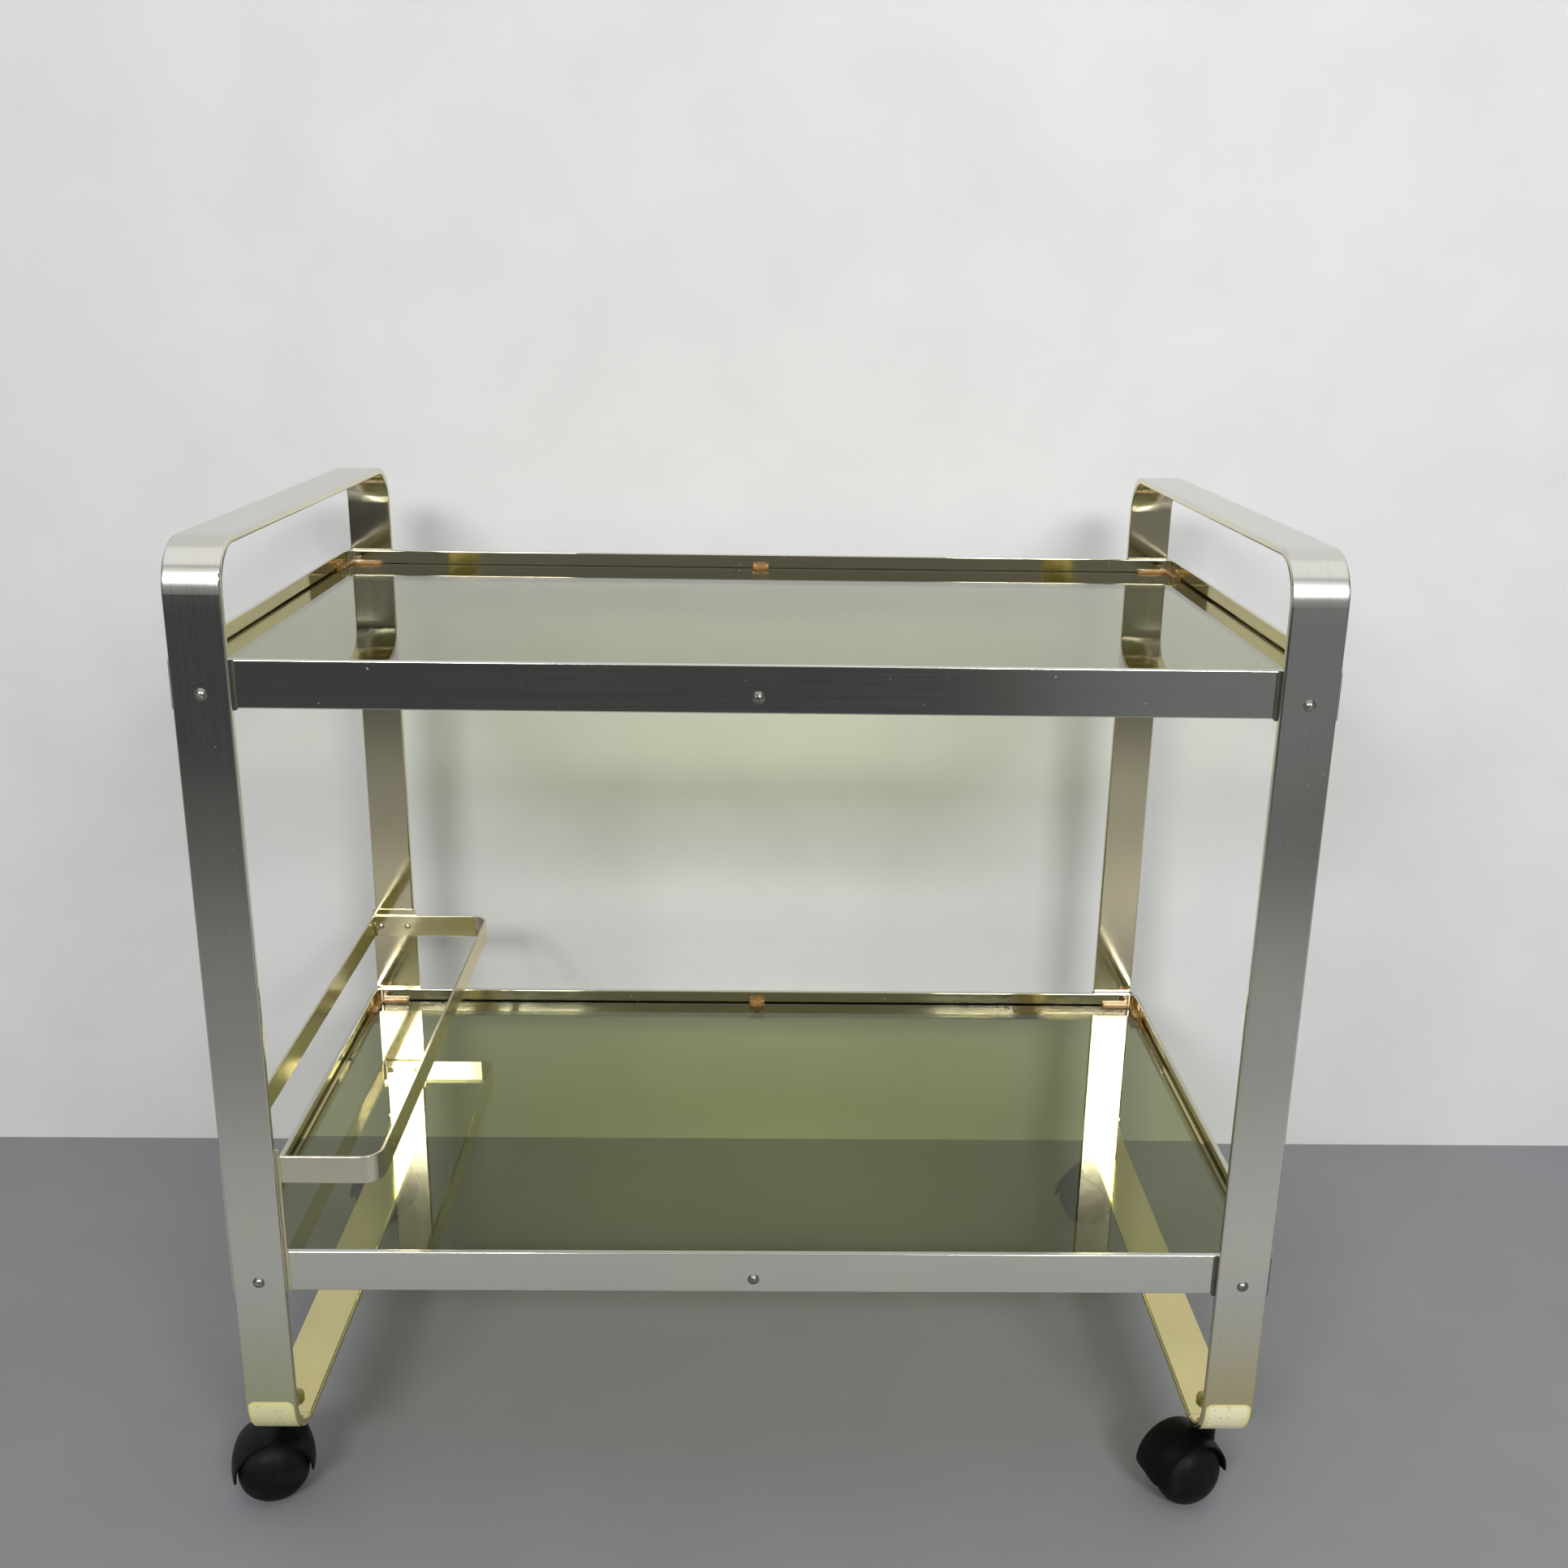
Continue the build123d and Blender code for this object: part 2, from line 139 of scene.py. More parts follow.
def anodised_finish(name, grain, outer, gloss, crazed=None):
    """Brushed gold aluminium: glossy where it was shaded, bleached and duller where outer says so."""
    material, tree, shader = new_finish(name, Metallic=1.0)
    where = tree.nodes.new("ShaderNodeTexCoord").outputs
    spot = where["Object"]
    place = add_node(tree, "ShaderNodeSeparateXYZ", Vector=spot).outputs
    facing = add_node(tree, "ShaderNodeSeparateXYZ", Vector=where["Normal"]).outputs
    lines = brush_lines(tree, spot, grain)
    clouds = noise(tree, spot, 14.0, 4.0)
    nicks = noise(tree, spot, 310.0, 2.0)
    uneven = ramp_between(tree, clouds, 0.1, 0.5, 0.85, 1.0)
    bleached = maths(tree, "MULTIPLY", outer(tree, place, facing), uneven)
    colour = mix_colours(tree, bleached, gold_colour(tree, spot, place, facing), faded_champagne)
    colour = mix_colours(tree, 1.0, colour, ramp_between(tree, lines, 0.25, 0.75, 0.965, 1.015), "MULTIPLY")
    rough = ramp_between(tree, maths(tree, "POWER", bleached, 2.0), 0.0, 1.0, gloss, bleached_roughness)
    for change in (
        ramp_between(tree, place["Z"], *handle_heights, 0.0, handle_wear),
        ramp_between(tree, lines, 0.2, 0.8, -0.015, 0.02),
        ramp_between(tree, clouds, 0.3, 0.75, -0.01, 0.015),
        ramp_between(tree, nicks, 0.765, 0.79, 0.0, 0.35),
    ):
        rough = maths(tree, "ADD", rough, change)
    if crazed:
        patch, reach = crazed(tree, place, facing)
        colour = mix_colours(tree, patch, colour, crazed_colour(tree, spot, place, patch, reach))
        rough = maths(tree, "ADD", rough, maths(tree, "MULTIPLY", patch, crazed_roughness))
        metal = maths(tree, "SUBTRACT", 1.0, maths(tree, "MULTIPLY", patch, crazed_metal_loss))
        tree.links.new(metal, shader.inputs["Metallic"])
    tree.links.new(colour, shader.inputs["Base Color"])
    tree.links.new(rough, shader.inputs["Roughness"])
    bump = add_node(tree, "ShaderNodeBump", Height=lines, Strength=0.03, Distance=0.0001)
    tree.links.new(bump.outputs[0], shader.inputs["Normal"])
    return material


def lit_faces(tree, place, facing):
    """How far a face is bleached: fully at front and back, half where it looks forward from inside."""
    forward = ramp_between(tree, facing["Y"], -0.9, -0.2, 1.0, 0.0)
    forward = maths(tree, "MULTIPLY", forward, ramp_between(tree, place["Y"], -0.2, 0.2, 1.0, 0.45))
    outward = ramp_between(tree, maths(tree, "MULTIPLY", place["Y"], facing["Y"]), -0.02, 0.08)
    return maths(tree, "MAXIMUM", forward, outward)


def bar_outer_faces(tree, place, facing):
    """The uprights, their edges and the top of the handle, less so towards the feet."""
    above = ramp_between(tree, facing["Z"], 0.1, 0.5)
    above = maths(tree, "MULTIPLY", above, ramp_between(tree, place["Z"], 0.3, 0.5))
    edges = ramp_between(tree, maths(tree, "ABSOLUTE", facing["X"]), 0.3, 0.7, 0.0, 0.6)
    exposed = maths(tree, "MAXIMUM", lit_faces(tree, place, facing), maths(tree, "MAXIMUM", above, edges))
    return maths(tree, "MULTIPLY", exposed, ramp_between(tree, place["Z"], *bleach_heights))


def foot_patches(tree, place, facing):
    """The outside of the two lower bends, and how far a spot is from the patch's rounded core."""
    sideways = maths(tree, "SUBTRACT", maths(tree, "ABSOLUTE", place["X"]), bar_middle)
    sideways = maths(tree, "ABSOLUTE", sideways)
    sideways = maths(tree, "SUBTRACT", sideways, foot_patch_half_width - foot_patch_rounding)
    upward = maths(tree, "SUBTRACT", place["Z"], foot_patch_top - foot_patch_rounding)
    reach = maths(
        tree, "SQRT",
        maths(
            tree, "ADD",
            maths(tree, "POWER", maths(tree, "MAXIMUM", sideways, 0.0), 2.0),
            maths(tree, "POWER", maths(tree, "MAXIMUM", upward, 0.0), 2.0),
        ),
    )
    inside = ramp_between(tree, reach, foot_patch_rounding - 0.0006, foot_patch_rounding + 0.0004, 1.0, 0.0)
    outward = ramp_between(tree, maths(tree, "MULTIPLY", place["Y"], facing["Y"]), 0.01, 0.04)
    return maths(tree, "MULTIPLY", inside, outward), reach


def dress(finish, *nodes):
    """Gives CAD pieces a finish."""
    for node in nodes:
        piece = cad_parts[node]
        piece.data.materials.clear()
        piece.data.materials.append(finish)


bar_finish = anodised_finish("champagne_bar", bar_grain, bar_outer_faces, bar_gloss, crazed=foot_patches)
dress(bar_finish, "left_side_frame", "right_side_frame")

# Shelf frames: flat rail of the same aluminium, 30 by 4 mm, set on edge and bent into a rectangle.
# It is brushed along the rail, bleached outside and still gold and glossy inside.
rail_grain = (7, 7, 1500)
rail_gloss = 0.04


def rail_outer_faces(tree, place, facing):
    """The outside of the rectangle and its upper edge."""
    deep = lit_faces(tree, place, facing)
    wide = ramp_between(tree, maths(tree, "MULTIPLY", place["X"], facing["X"]), -0.02, 0.12)
    edge = ramp_between(tree, facing["Z"], 0.3, 0.8)
    return maths(tree, "MAXIMUM", maths(tree, "MAXIMUM", deep, wide), edge)


rail_finish = anodised_finish("shelf_rail", rail_grain, rail_outer_faces, rail_gloss)
dress(rail_finish, "upper_shelf_frame", "lower_shelf_frame")

# Glass shelves: 5 mm sheet, smoked olive grey in the mass, with a bevelled and polished edge.
# Each lies on plastic clips inside its rail, 11 mm below the top of it.
smoke = (0.39, 0.415, 0.235, 1)
smoke_streak = (0.37, 0.395, 0.22, 1)
light_through = (0.79, 0.80, 0.68, 1)
glass_finish, glass_tree, glass_shader = new_finish("smoked_glass", IOR=1.55, Transmission_Weight=1.0)
glass_place = glass_tree.nodes.new("ShaderNodeTexCoord").outputs["Object"]
glass_colour = mix_colours(glass_tree, noise(glass_tree, glass_place, 5.0), smoke, smoke_streak)
glass_smears = ramp_between(glass_tree, noise(glass_tree, glass_place, 22.0, 5.0), 0.5, 0.8, 0.0, 0.03)
glass_tree.links.new(glass_colour, glass_shader.inputs["Base Color"])
glass_tree.links.new(glass_smears, glass_shader.inputs["Roughness"])
shadow_ray = glass_tree.nodes.new("ShaderNodeLightPath").outputs["Is Shadow Ray"]
tinted_light = add_node(glass_tree, "ShaderNodeBsdfTransparent", Color=light_through).outputs[0]
glass_shadow = add_node(
    glass_tree, "ShaderNodeMixShader", i0=shadow_ray, i1=glass_shader.outputs[0], i2=tinted_light
)
glass_tree.links.new(glass_shadow.outputs[0], glass_tree.nodes["Material Output"].inputs["Surface"])
dress(glass_finish, "upper_glass_shelf", "lower_glass_shelf")

# Glass clips: see-through amber plastic mouldings under the corners and the middle of each sheet of glass.
# A ledge, a wall and a lip each, held to the rail by a screw and yellowed unevenly with age.
amber = (0.86, 0.60, 0.27, 1)
dark_amber = (0.66, 0.36, 0.12, 1)
clip_finish, clip_tree, clip_shader = new_finish("amber_clip", IOR=1.49, Transmission_Weight=0.75)
clip_place = clip_tree.nodes.new("ShaderNodeTexCoord").outputs["Object"]
clip_age = ramp_between(clip_tree, noise(clip_tree, clip_place, 120.0, 4.0), 0.35, 0.7)
clip_rough = ramp_between(clip_tree, clip_age, 0.0, 1.0, 0.12, 0.28)
clip_tree.links.new(mix_colours(clip_tree, clip_age, amber, dark_amber), clip_shader.inputs["Base Color"])
clip_tree.links.new(clip_rough, clip_shader.inputs["Roughness"])
dress(clip_finish, "upper_corner_clips", "upper_middle_clips", "lower_corner_clips", "lower_middle_clips")

# Packing plates: dark grey-brown plastic sheet, 1.2 mm, between upright and rail where no bracket plate is.
# Only their edges show, as a dull near-black band with rust-brown specks of dirt beside each upright; the
# near-black is partly painted shade of the narrow gap there.
# Near black: partly the plastic's own dark colour, partly painted shade of the gap between upright and rail.
packing_brown_and_shade = (0.045, 0.040, 0.030, 1)
packing_grey_and_shade = (0.10, 0.095, 0.08, 1)
packing_dirt = (0.23, 0.12, 0.05, 1)
packing_finish, packing_tree, packing_shader = new_finish("packing_plate", IOR=1.5)
packing_place = packing_tree.nodes.new("ShaderNodeTexCoord").outputs["Object"]
packing_clouds = noise(packing_tree, packing_place, 90.0, 4.0)
packing_colour = mix_colours(packing_tree, packing_clouds, packing_brown_and_shade, packing_grey_and_shade)
packing_specks = ramp_between(packing_tree, noise(packing_tree, packing_place, 600.0), 0.64, 0.70)
packing_colour = mix_colours(packing_tree, packing_specks, packing_colour, packing_dirt)
packing_tree.links.new(packing_colour, packing_shader.inputs["Base Color"])
packing_rough = ramp_between(packing_tree, packing_specks, 0.0, 1.0, 0.38, 0.7)
packing_tree.links.new(packing_rough, packing_shader.inputs["Roughness"])
dress(packing_finish, "upper_packing_plates", "lower_packing_plates")

# Screws and nuts: nickel-plated steel, domed heads 8 mm across with one slot, 4 mm shanks with a nut behind.
# Corner screws go through upright, plate, rail and clip; middle screws through rail and clip only.
nickel_bright = (0.40, 0.39, 0.365, 1)
nickel_dull = (0.24, 0.23, 0.21, 1)
crisp_angle = math.radians(32)


def plated_finish(name, bright, dull, smooth, rough):
    """Plated steel with fine dull spots."""
    material, tree, shader = new_finish(name, Metallic=1.0)
    spots = noise(tree, tree.nodes.new("ShaderNodeTexCoord").outputs["Object"], 500.0, 4.0)
    tree.links.new(mix_colours(tree, spots, bright, dull), shader.inputs["Base Color"])
    tree.links.new(ramp_between(tree, spots, 0.3, 0.7, smooth, rough), shader.inputs["Roughness"])
    return material


nickel_finish = plated_finish("nickel_steel", nickel_bright, nickel_dull, 0.24, 0.38)
dress(nickel_finish, "upper_corner_nuts", "upper_middle_nuts", "lower_corner_nuts", "lower_middle_nuts")


def sized_tree(name, sizes):
    """A Geometry Nodes tree that takes points and the named sizes, and gives a mesh."""
    tree = bpy.data.node_groups.new(name, "GeometryNodeTree")
    tree.interface.new_socket("Geometry", in_out="INPUT", socket_type="NodeSocketGeometry")
    for size in sizes:
        tree.interface.new_socket(size, in_out="INPUT", socket_type="NodeSocketFloat")
    tree.interface.new_socket("Geometry", in_out="OUTPUT", socket_type="NodeSocketGeometry")
    return tree, tree.nodes.new("NodeGroupInput").outputs, tree.nodes.new("NodeGroupOutput").inputs


def domed_head(tree, diameter, height, rings=14, sides=40):
    """A cap of a sphere on a flat seat, turned up from a line of rings along +Z."""
    along = maths(tree, "DIVIDE", add_node(tree, "GeometryNodeInputIndex").outputs[0], rings - 1)
    half = maths(tree, "MULTIPLY", diameter, 0.5)
    ball = maths(tree, "ADD", maths(tree, "POWER", half, 2.0), maths(tree, "POWER", height, 2.0))
    ball = maths(tree, "DIVIDE", ball, maths(tree, "MULTIPLY", height, 2.0))
    rise = maths(tree, "MULTIPLY", height, maths(tree, "SINE", maths(tree, "MULTIPLY", along, math.pi / 2)))
    depth = maths(tree, "ADD", maths(tree, "SUBTRACT", ball, height), rise)
    girth = maths(tree, "SUBTRACT", maths(tree, "POWER", ball, 2.0), maths(tree, "POWER", depth, 2.0))
    girth = maths(tree, "SQRT", maths(tree, "MAXIMUM", girth, 1e-10))
    line = add_node(tree, "GeometryNodeCurvePrimitiveLine", End=(0, 0, 1))
    line = add_node(tree, "GeometryNodeResampleCurve", Curve=line.outputs[0], Count=rings)
    spot = add_node(tree, "ShaderNodeCombineXYZ", Z=rise)
    line = add_node(tree, "GeometryNodeSetPosition", Geometry=line.outputs[0], Position=spot.outputs[0])
    line = add_node(tree, "GeometryNodeSetCurveRadius", Curve=line.outputs[0], Radius=girth)
    ring = add_node(tree, "GeometryNodeCurvePrimitiveCircle", Resolution=sides, Radius=1.0)
    reach = add_node(tree, "GeometryNodeInputRadius").outputs[0]
    return add_node(
        tree, "GeometryNodeCurveToMesh",
        Curve=line.outputs[0], Profile_Curve=ring.outputs[0], Scale=reach, Fill_Caps=True,
    ).outputs[0]


def round_shank(tree, diameter, length):
    """A plain shank that hangs below the head along -Z."""
    bar = add_node(
        tree, "GeometryNodeMeshCylinder",
        Vertices=24, Radius=maths(tree, "MULTIPLY", diameter, 0.5), Depth=length,
    )
    drop = add_node(tree, "ShaderNodeCombineXYZ", Z=maths(tree, "MULTIPLY", length, -0.5))
    bar = add_node(tree, "GeometryNodeTransform", Geometry=bar.outputs[0], Translation=drop.outputs[0])
    return bar.outputs[0]


def plant(tree, points, mesh, finish, output):
    """Sets the mesh on every point, turned by the point's own turn, with crisp edges between faces."""
    turn = add_node(tree, "GeometryNodeInputNamedAttribute", {"data_type": "QUATERNION"}, Name="turn")
    planted = add_node(
        tree, "GeometryNodeInstanceOnPoints", Points=points, Instance=mesh, Rotation=turn.outputs[0]
    )
    real = add_node(tree, "GeometryNodeRealizeInstances", Geometry=planted.outputs[0])
    smooth = add_node(
        tree, "GeometryNodeSetShadeSmooth", {"domain": "FACE"}, Geometry=real.outputs[0], Shade_Smooth=True
    )
    angle = add_node(tree, "GeometryNodeInputMeshEdgeAngle").outputs["Unsigned Angle"]
    steep = maths(tree, "GREATER_THAN", angle, crisp_angle)
    crisp = add_node(
        tree, "GeometryNodeSetShadeSmooth", {"domain": "EDGE"},
        Geometry=smooth.outputs[0], Selection=steep, Shade_Smooth=False,
    )
    done = add_node(tree, "GeometryNodeSetMaterial", Geometry=crisp.outputs[0], Material=finish)
    tree.links.new(done.outputs[0], output)


def planted_piece(name, tree, sizes, places):
    """Runs the tree on points at the places, each with a turn, and keeps the result as a plain mesh."""
    points = bpy.data.meshes.new(name)
    points.from_pydata([place for place, turn in places], [], [])
    turns = points.attributes.new("turn", "QUATERNION", "POINT")
    for entry, (place, turn) in zip(turns.data, places):
        entry.value = turn
    piece = bpy.data.objects.new(name, points)
    bpy.context.scene.collection.objects.link(piece)
    modifier = piece.modifiers.new("made", "NODES")
    modifier.node_group = tree
    for socket in tree.interface.items_tree:
        if socket.in_out == "INPUT" and socket.name in sizes:
            modifier[socket.identifier] = sizes[socket.name]
    graph = bpy.context.evaluated_depsgraph_get()
    finished = bpy.data.meshes.new_from_object(piece.evaluated_get(graph), depsgraph=graph)
    piece.modifiers.clear()
    piece.data = finished
    return piece


def facing_out(front, spin):
    """Turns +Z to the front or the rear of the cart, after a spin about the screw's own axis."""
    tip = Quaternion((1, 0, 0), math.radians(90 if front else -90))
    return tip @ Quaternion((0, 0, 1), math.radians(spin))


screw_sizes = ("Head Diameter", "Head Height", "Slot Width", "Slot Depth", "Shank Diameter", "Shank Length")
screw_tree, screw_in, screw_out = sized_tree("slotted_screw", screw_sizes)
screw_head = domed_head(screw_tree, screw_in["Head Diameter"], screw_in["Head Height"])
slot_run = maths(screw_tree, "MULTIPLY", screw_in["Head Diameter"], 2.0)  # past both sides of the head
slot_tall = maths(screw_tree, "MULTIPLY", screw_in["Slot Depth"], 2.0)  # half of it above the head
slot_box = add_node(screw_tree, "ShaderNodeCombineXYZ", X=slot_run, Y=screw_in["Slot Width"], Z=slot_tall)
slot_cutter = add_node(screw_tree, "GeometryNodeMeshCube", Size=slot_box.outputs[0])
slot_rise = add_node(screw_tree, "ShaderNodeCombineXYZ", Z=screw_in["Head Height"])
slot_cutter = add_node(
    screw_tree, "GeometryNodeTransform", Geometry=slot_cutter.outputs[0], Translation=slot_rise.outputs[0]
)
slotted_head = add_node(screw_tree, "GeometryNodeMeshBoolean", {"operation": "DIFFERENCE"})
screw_tree.links.new(screw_head, slotted_head.inputs["Mesh 1"])
screw_tree.links.new(slot_cutter.outputs[0], slotted_head.inputs["Mesh 2"])
whole_screw = screw_tree.nodes.new("GeometryNodeJoinGeometry")
screw_tree.links.new(slotted_head.outputs[0], whole_screw.inputs[0])
screw_shank = round_shank(screw_tree, screw_in["Shank Diameter"], screw_in["Shank Length"])
screw_tree.links.new(screw_shank, whole_screw.inputs[0])
plant(screw_tree, screw_in["Geometry"], whole_screw.outputs[0], nickel_finish, screw_out["Geometry"])

screw_levels = {"upper": 0.6115, "lower": 0.2045}
screw_rows = {
    "corner": {"seat": 0.218, "length": 0.02655, "spins": {-bar_middle: -25, bar_middle: 45}},
    "middle": {"seat": 0.2118, "length": 0.02035, "spins": {0.0: -70}},
}
for kind, row in screw_rows.items():
    places = []
    for height in screw_levels.values():
        for x, spin in row["spins"].items():
            places.append(((x, -row["seat"], height), facing_out(True, spin)))
            places.append(((x, row["seat"], height), facing_out(False, spin)))
    screws = planted_piece(
        f"{kind}_screws", screw_tree,
        {
            "Head Diameter": 0.008, "Head Height": 0.0024, "Slot Width": 0.001, "Slot Depth": 0.0009,
            "Shank Diameter": 0.004, "Shank Length": row["length"],
        },
        places,
    )
    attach(screws, "cart")
    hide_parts(*[f"{level}_{kind}_screws" for level in screw_levels])

# Bottle holder and its brackets: a narrow strip, 19.5 by 2 mm, bent into a loop over the lower shelf.
# Two 1.2 mm plates behind the left uprights carry it. Strip and plates are gold aluminium, bleached less.
bracket_grain = (1300, 7, 7)
holder_gloss = 0.15
bracket_gloss = 0.09
holder_bleach = 0.7


def holder_outer_faces(tree, place, facing):
    """As for the shelf rails, but bleached less."""
    return maths(tree, "MULTIPLY", rail_outer_faces(tree, place, facing), holder_bleach)


holder_finish = anodised_finish("holder_strip", rail_grain, holder_outer_faces, holder_gloss)
bracket_finish = anodised_finish("bracket_plate", bracket_grain, holder_outer_faces, bracket_gloss)
dress(holder_finish, "bottle_holder")
dress(bracket_finish, "front_holder_bracket", "rear_holder_bracket")

# Holder rivets: four bright nickel-plated steel rivets, 3 mm with round heads 5.5 mm across inside the loop.
# Each pulls a short side of the holder against its bracket plate.
rivet_bright = (0.86, 0.82, 0.70, 1)
rivet_dull = (0.70, 0.66, 0.54, 1)
rivet_seat = 0.2098
rivet_height = 0.28675
rivet_columns = (-0.3445, -0.3205)
rivet_tree, rivet_in, rivet_out = sized_tree(
    "round_rivet", ("Head Diameter", "Head Height", "Shank Diameter", "Shank Length")
)
whole_rivet = rivet_tree.nodes.new("GeometryNodeJoinGeometry")
rivet_head = domed_head(rivet_tree, rivet_in["Head Diameter"], rivet_in["Head Height"])
rivet_tree.links.new(rivet_head, whole_rivet.inputs[0])
rivet_shank = round_shank(rivet_tree, rivet_in["Shank Diameter"], rivet_in["Shank Length"])
rivet_tree.links.new(rivet_shank, whole_rivet.inputs[0])
rivet_finish = plated_finish("bright_rivet", rivet_bright, rivet_dull, 0.18, 0.30)
plant(rivet_tree, rivet_in["Geometry"], whole_rivet.outputs[0], rivet_finish, rivet_out["Geometry"])
rivets = planted_piece(
    "strip_rivets", rivet_tree,
    {"Head Diameter": 0.0055, "Head Height": 0.0018, "Shank Diameter": 0.003, "Shank Length": 0.0032},
    [
        ((x, end * rivet_seat, rivet_height), facing_out(end > 0, 0))
        for x in rivet_columns for end in (-1, 1)
    ],
)
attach(rivets, "cart")
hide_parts("holder_rivets")

# Caster stems and caps: steel pins through the bottom bars, each with a brass-washed domed cap on top.
# The wash has dulled to an olive gold close to the bar's.
cap_gold = (0.78, 0.68, 0.36, 1)
cap_brown = (0.60, 0.50, 0.25, 1)
cap_finish, cap_tree, cap_shader = new_finish("stem_cap", Metallic=1.0)
cap_place = cap_tree.nodes.new("ShaderNodeTexCoord").outputs["Object"]
cap_stain = noise(cap_tree, cap_place, 180.0, 5.0)
cap_tree.links.new(mix_colours(cap_tree, cap_stain, cap_gold, cap_brown), cap_shader.inputs["Base Color"])
cap_tree.links.new(ramp_between(cap_tree, cap_stain, 0.3, 0.7, 0.26, 0.42), cap_shader.inputs["Roughness"])
dress(cap_finish, "caster_stem_caps", "caster_stems")

# Casters: a barrel-shaped hood of black moulded plastic on each stem, two domed wheels and a 6 mm steel axle.
# The plastic is fine grained and a little dusty; the domes of the wheels are scuffed greyer by the floor.
hood_black = (0.003, 0.0032, 0.004, 1)
hood_dust = (0.009, 0.009, 0.009, 1)
wheel_black = (0.006, 0.006, 0.007, 1)
wheel_dust = (0.018, 0.0175, 0.017, 1)


def moulded_finish(name, plastic, dust, smooth, dull):
    """Black plastic with clouds of dust and a fine moulded grain."""
    material, tree, shader = new_finish(name, IOR=1.5, Specular_IOR_Level=0.12)
    place = tree.nodes.new("ShaderNodeTexCoord").outputs["Object"]
    dusty = noise(tree, place, 45.0, 5.0)
    colour = mix_colours(tree, ramp_between(tree, dusty, 0.45, 0.8), plastic, dust)
    tree.links.new(colour, shader.inputs["Base Color"])
    tree.links.new(ramp_between(tree, dusty, 0.3, 0.7, smooth, dull), shader.inputs["Roughness"])
    grain = noise(tree, place, 900.0)
    bump = add_node(tree, "ShaderNodeBump", Height=grain, Strength=0.08, Distance=0.0002)
    tree.links.new(bump.outputs[0], shader.inputs["Normal"])
    return material


hood_finish = moulded_finish("black_hood", hood_black, hood_dust, 0.36, 0.46)
wheel_finish = moulded_finish("black_wheel", wheel_black, wheel_dust, 0.42, 0.56)
for corner in ("front_left", "front_right", "rear_left", "rear_right"):
    dress(hood_finish, f"{corner}_caster_hood")
    dress(wheel_finish, f"{corner}_left_wheel", f"{corner}_right_wheel")
    dress(nickel_finish, f"{corner}_caster_axle")

# Stage: a grey floor with painted light and shade, a pale painted pool in front of the cart, painted shade
# darker towards the camera and painted light paler to the right, and a white backdrop close behind the cart,
# also painted paler to the right. The backdrop shows from the front only, so that the cart is seen from
# behind as well.
wall_place = 0.326
wall_top = 3.2
wall_white = (0.84, 0.84, 0.84, 1)
floor_front, floor_rear = -2.0, 4
stage_left, stage_right = -4, 4
# Painted light and shade on the floor: a pale painted pool just in front of the cart, painted shade darkening
# towards the camera.
floor_painted_light_bands = [
    (-1.7, (0.07, 0.07, 0.07, 1)), (-1.0, (0.21, 0.21, 0.205, 1)),
    (-0.55, (0.43, 0.435, 0.435, 1)), (-0.25, (0.265, 0.27, 0.282, 1)),
]


def stage_sheet(name, corners_at, bands, one_sided=False):
    """A flat sheet whose colour goes from band to band along Y, a little mottled, with painted light paler to
    the right and at the front right.
    """
    mesh = bpy.data.meshes.new(name)
    mesh.from_pydata(corners_at, [], [(0, 1, 2, 3)])
    sheet = bpy.data.objects.new(name, mesh)
    bpy.context.scene.collection.objects.link(sheet)
    material, tree, shader = new_finish(name, Roughness=0.9)
    where = tree.nodes.new("ShaderNodeTexCoord").outputs["Object"]
    place = add_node(tree, "ShaderNodeSeparateXYZ", Vector=where).outputs
    colour = bands[0][1]
    for (start, shade), (stop, next_shade) in zip(bands, bands[1:]):
        colour = mix_colours(tree, ramp_between(tree, place["Y"], start, stop), colour, next_shade)
    mottle_and_painted_light = ramp_between(tree, noise(tree, where, 9.0, 8.0), 0.2, 0.8, 0.97, 1.03)
    # Painted light: paler to the right, and on the floor brighter still at the front right.
    mottle_and_painted_light = maths(tree, "MULTIPLY", mottle_and_painted_light, ramp_between(tree, place["X"], -0.8, 0.8, 0.94, 1.06))
    sideways = maths(tree, "MULTIPLY", place["X"], maths(tree, "MINIMUM", place["Y"], 0.0))
    mottle_and_painted_light = maths(tree, "MULTIPLY", mottle_and_painted_light, ramp_between(tree, sideways, -0.8, -0.2, 1.35, 1.0))
    tree.links.new(mix_colours(tree, 1.0, colour, mottle_and_painted_light, "MULTIPLY"), shader.inputs["Base Color"])
    if one_sided:
        rear = tree.nodes.new("ShaderNodeNewGeometry").outputs["Backfacing"]
        clear = tree.nodes.new("ShaderNodeBsdfTransparent").outputs[0]
        shown = add_node(tree, "ShaderNodeMixShader", i0=rear, i1=shader.outputs[0], i2=clear)
        tree.links.new(shown.outputs[0], tree.nodes["Material Output"].inputs["Surface"])
    mesh.materials.append(material)


stage_sheet(
    "floor",
    [
        (stage_left, floor_front, 0), (stage_right, floor_front, 0),
        (stage_right, floor_rear, 0), (stage_left, floor_rear, 0),
    ],
    floor_painted_light_bands,
)
stage_sheet(
    "backdrop",
    [
        (stage_left, wall_place, 0), (stage_right, wall_place, 0),
        (stage_right, wall_place, wall_top), (stage_left, wall_place, wall_top),
    ],
    [(0.0, wall_white)], one_sided=True,
)

# Light: two bright strips in front, a soft panel above and a wide dim ceiling, all hidden from the camera.
# The room around is dim too, and darkest low down on the left.
strip_side, strip_distance, strip_height = 0.875, -2.4, 1.70
dark_corner = (0.05, 0.052, 0.054, 1)
lit_room = (0.19, 0.195, 0.20, 1)


def soft_light(name, place, aim, width, height, watts):
    data = bpy.data.lights.new(name, "AREA")
    data.shape = "RECTANGLE"
    data.size = width
    data.size_y = height
    data.energy = watts
    lamp = bpy.data.objects.new(name, data)
    lamp.location = place
    lamp.rotation_euler = (Vector(aim) - Vector(place)).to_track_quat("-Z", "Y").to_euler()
    lamp.visible_camera = False
    bpy.context.scene.collection.objects.link(lamp)


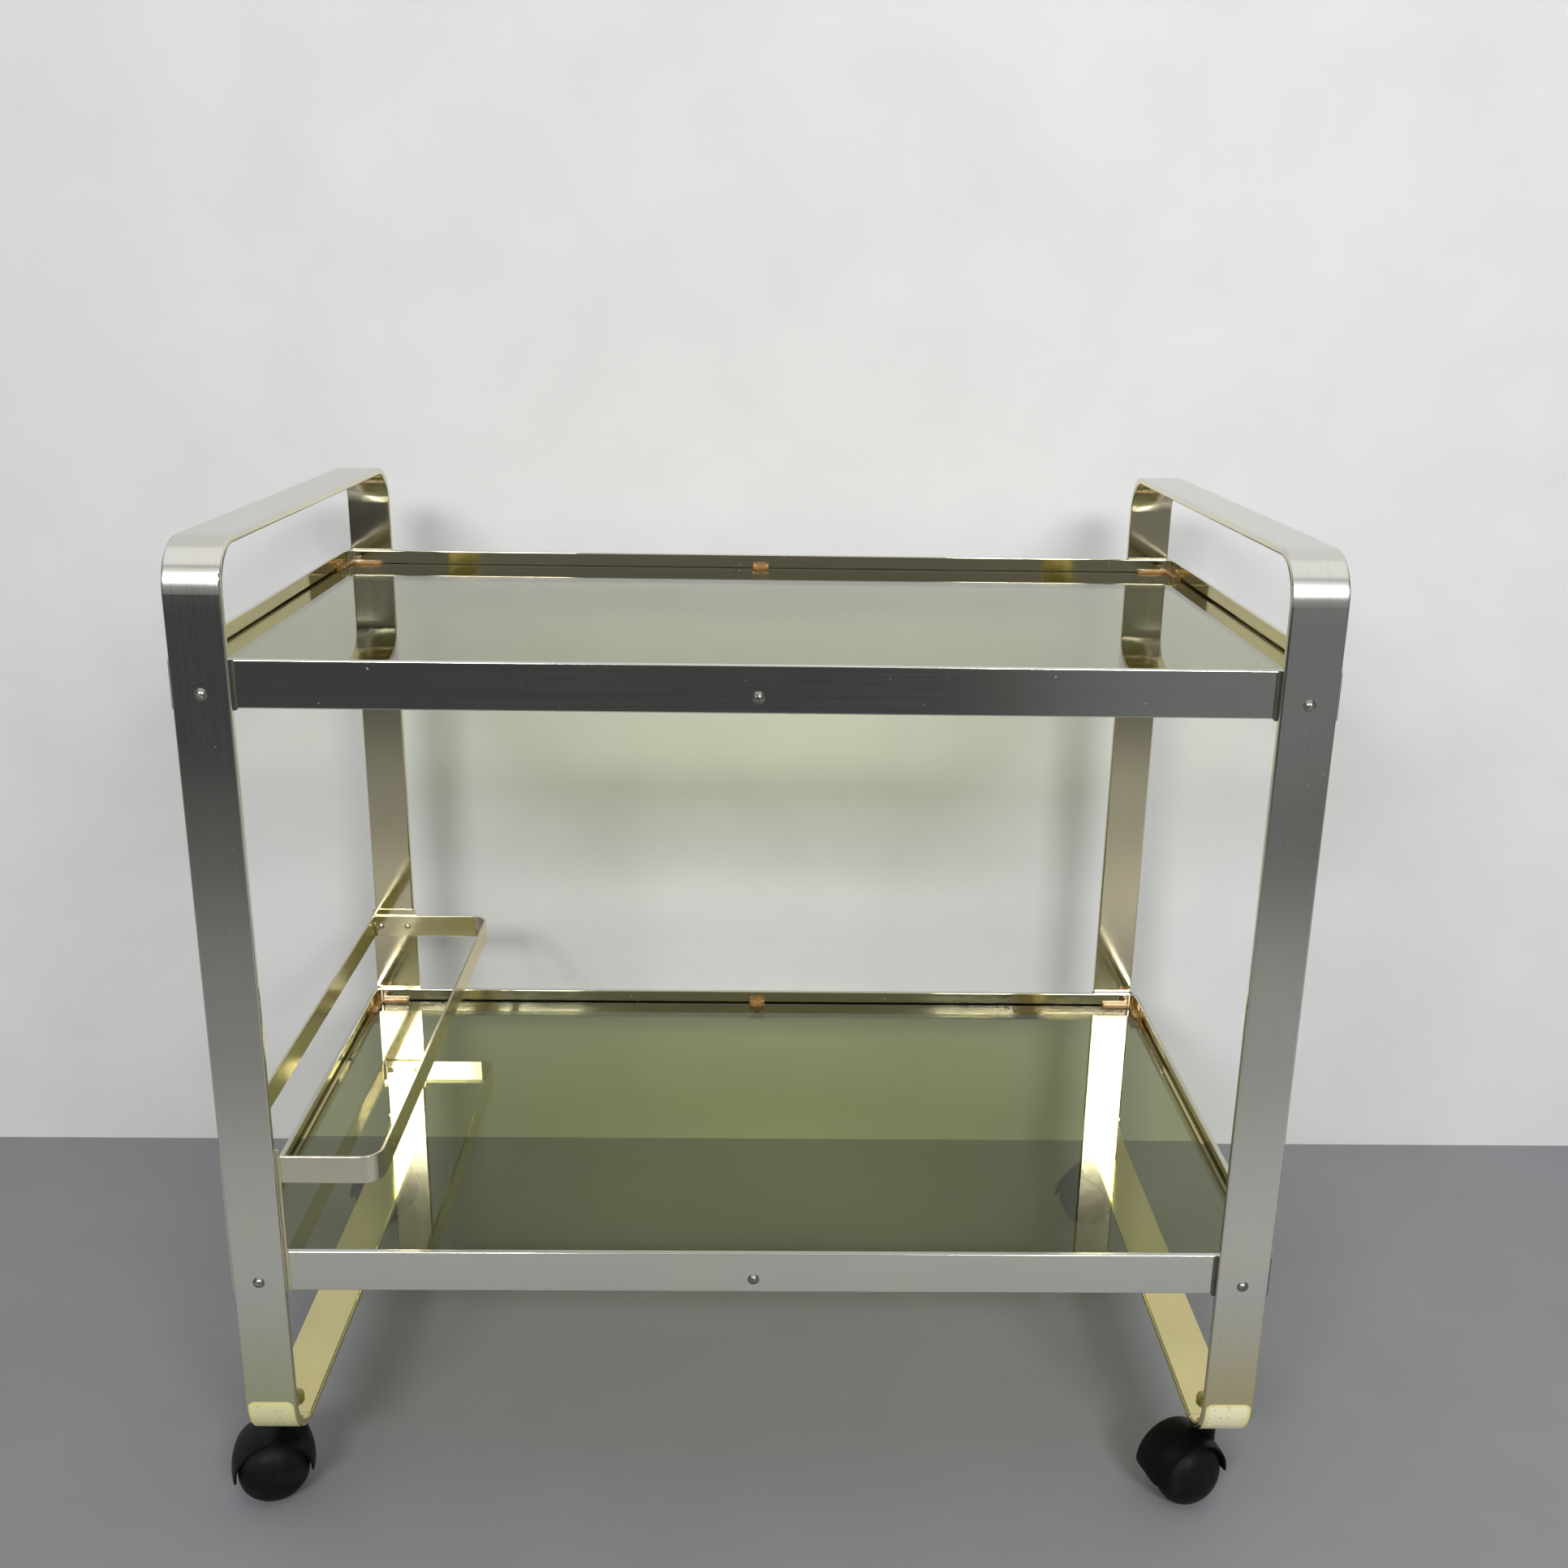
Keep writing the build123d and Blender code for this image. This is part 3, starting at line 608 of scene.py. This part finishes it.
for x, hand in ((-strip_side, "left"), (strip_side, "right")):
    place = (x, strip_distance, strip_height)
    soft_light(f"{hand}_strip", place, aim=(x, 0.0, 0.55), width=0.75, height=0.40, watts=28)
soft_light("upper_panel", (0.0, -2.08, 2.24), aim=(0.0, 0.0, 0.5), width=3.2, height=0.86, watts=5)
soft_light("ceiling_panel", (0.0, -0.7, 2.8), aim=(0.0, -0.7, 0.0), width=4.0, height=2.0, watts=20)

world = bpy.data.worlds.new("room")
world.use_nodes = True
room_tree = world.node_tree
room_way = room_tree.nodes.new("ShaderNodeTexCoord").outputs["Generated"]
room_way = add_node(room_tree, "ShaderNodeSeparateXYZ", Vector=room_way).outputs
from_right = ramp_between(room_tree, room_way["X"], 0.10, 0.26)
from_above = ramp_between(room_tree, room_way["Z"], -0.12, -0.03)
room_light = maths(room_tree, "MAXIMUM", from_right, from_above)
room_colour = mix_colours(room_tree, room_light, dark_corner, lit_room)
room_tree.links.new(room_colour, room_tree.nodes["Background"].inputs["Color"])
bpy.context.scene.world = world
bpy.context.scene.view_settings.view_transform = "Standard"

# Camera: in front of the cart and a little above the handles, looking down at it.
# Its place, turn and lens come from a fit to the edges of the cart in the photograph.
camera_place = (0.00242, -1.13672, 0.844)
photo_size = 1932
focal_pixels = 1944.42
centre_pixel = 971.95
yaw, pitch, roll = 0.0180, -0.3006, 0.0149
forward = Vector((math.sin(yaw) * math.cos(pitch), math.cos(yaw) * math.cos(pitch), math.sin(pitch)))
level_right = Vector((math.cos(yaw), -math.sin(yaw), 0.0))
level_up = level_right.cross(forward)
right = math.cos(roll) * level_right + math.sin(roll) * level_up
up = math.cos(roll) * level_up - math.sin(roll) * level_right
camera_data = bpy.data.cameras.new("camera")
camera_data.sensor_width = 36.0
camera_data.lens = focal_pixels / photo_size * camera_data.sensor_width
camera_data.shift_x = (photo_size / 2 - centre_pixel) / photo_size
camera = bpy.data.objects.new("camera", camera_data)
bpy.context.scene.collection.objects.link(camera)
turn = Matrix((right, up, -forward)).transposed().to_4x4()
camera.matrix_world = Matrix.Translation(camera_place) @ turn
bpy.context.scene.camera = camera
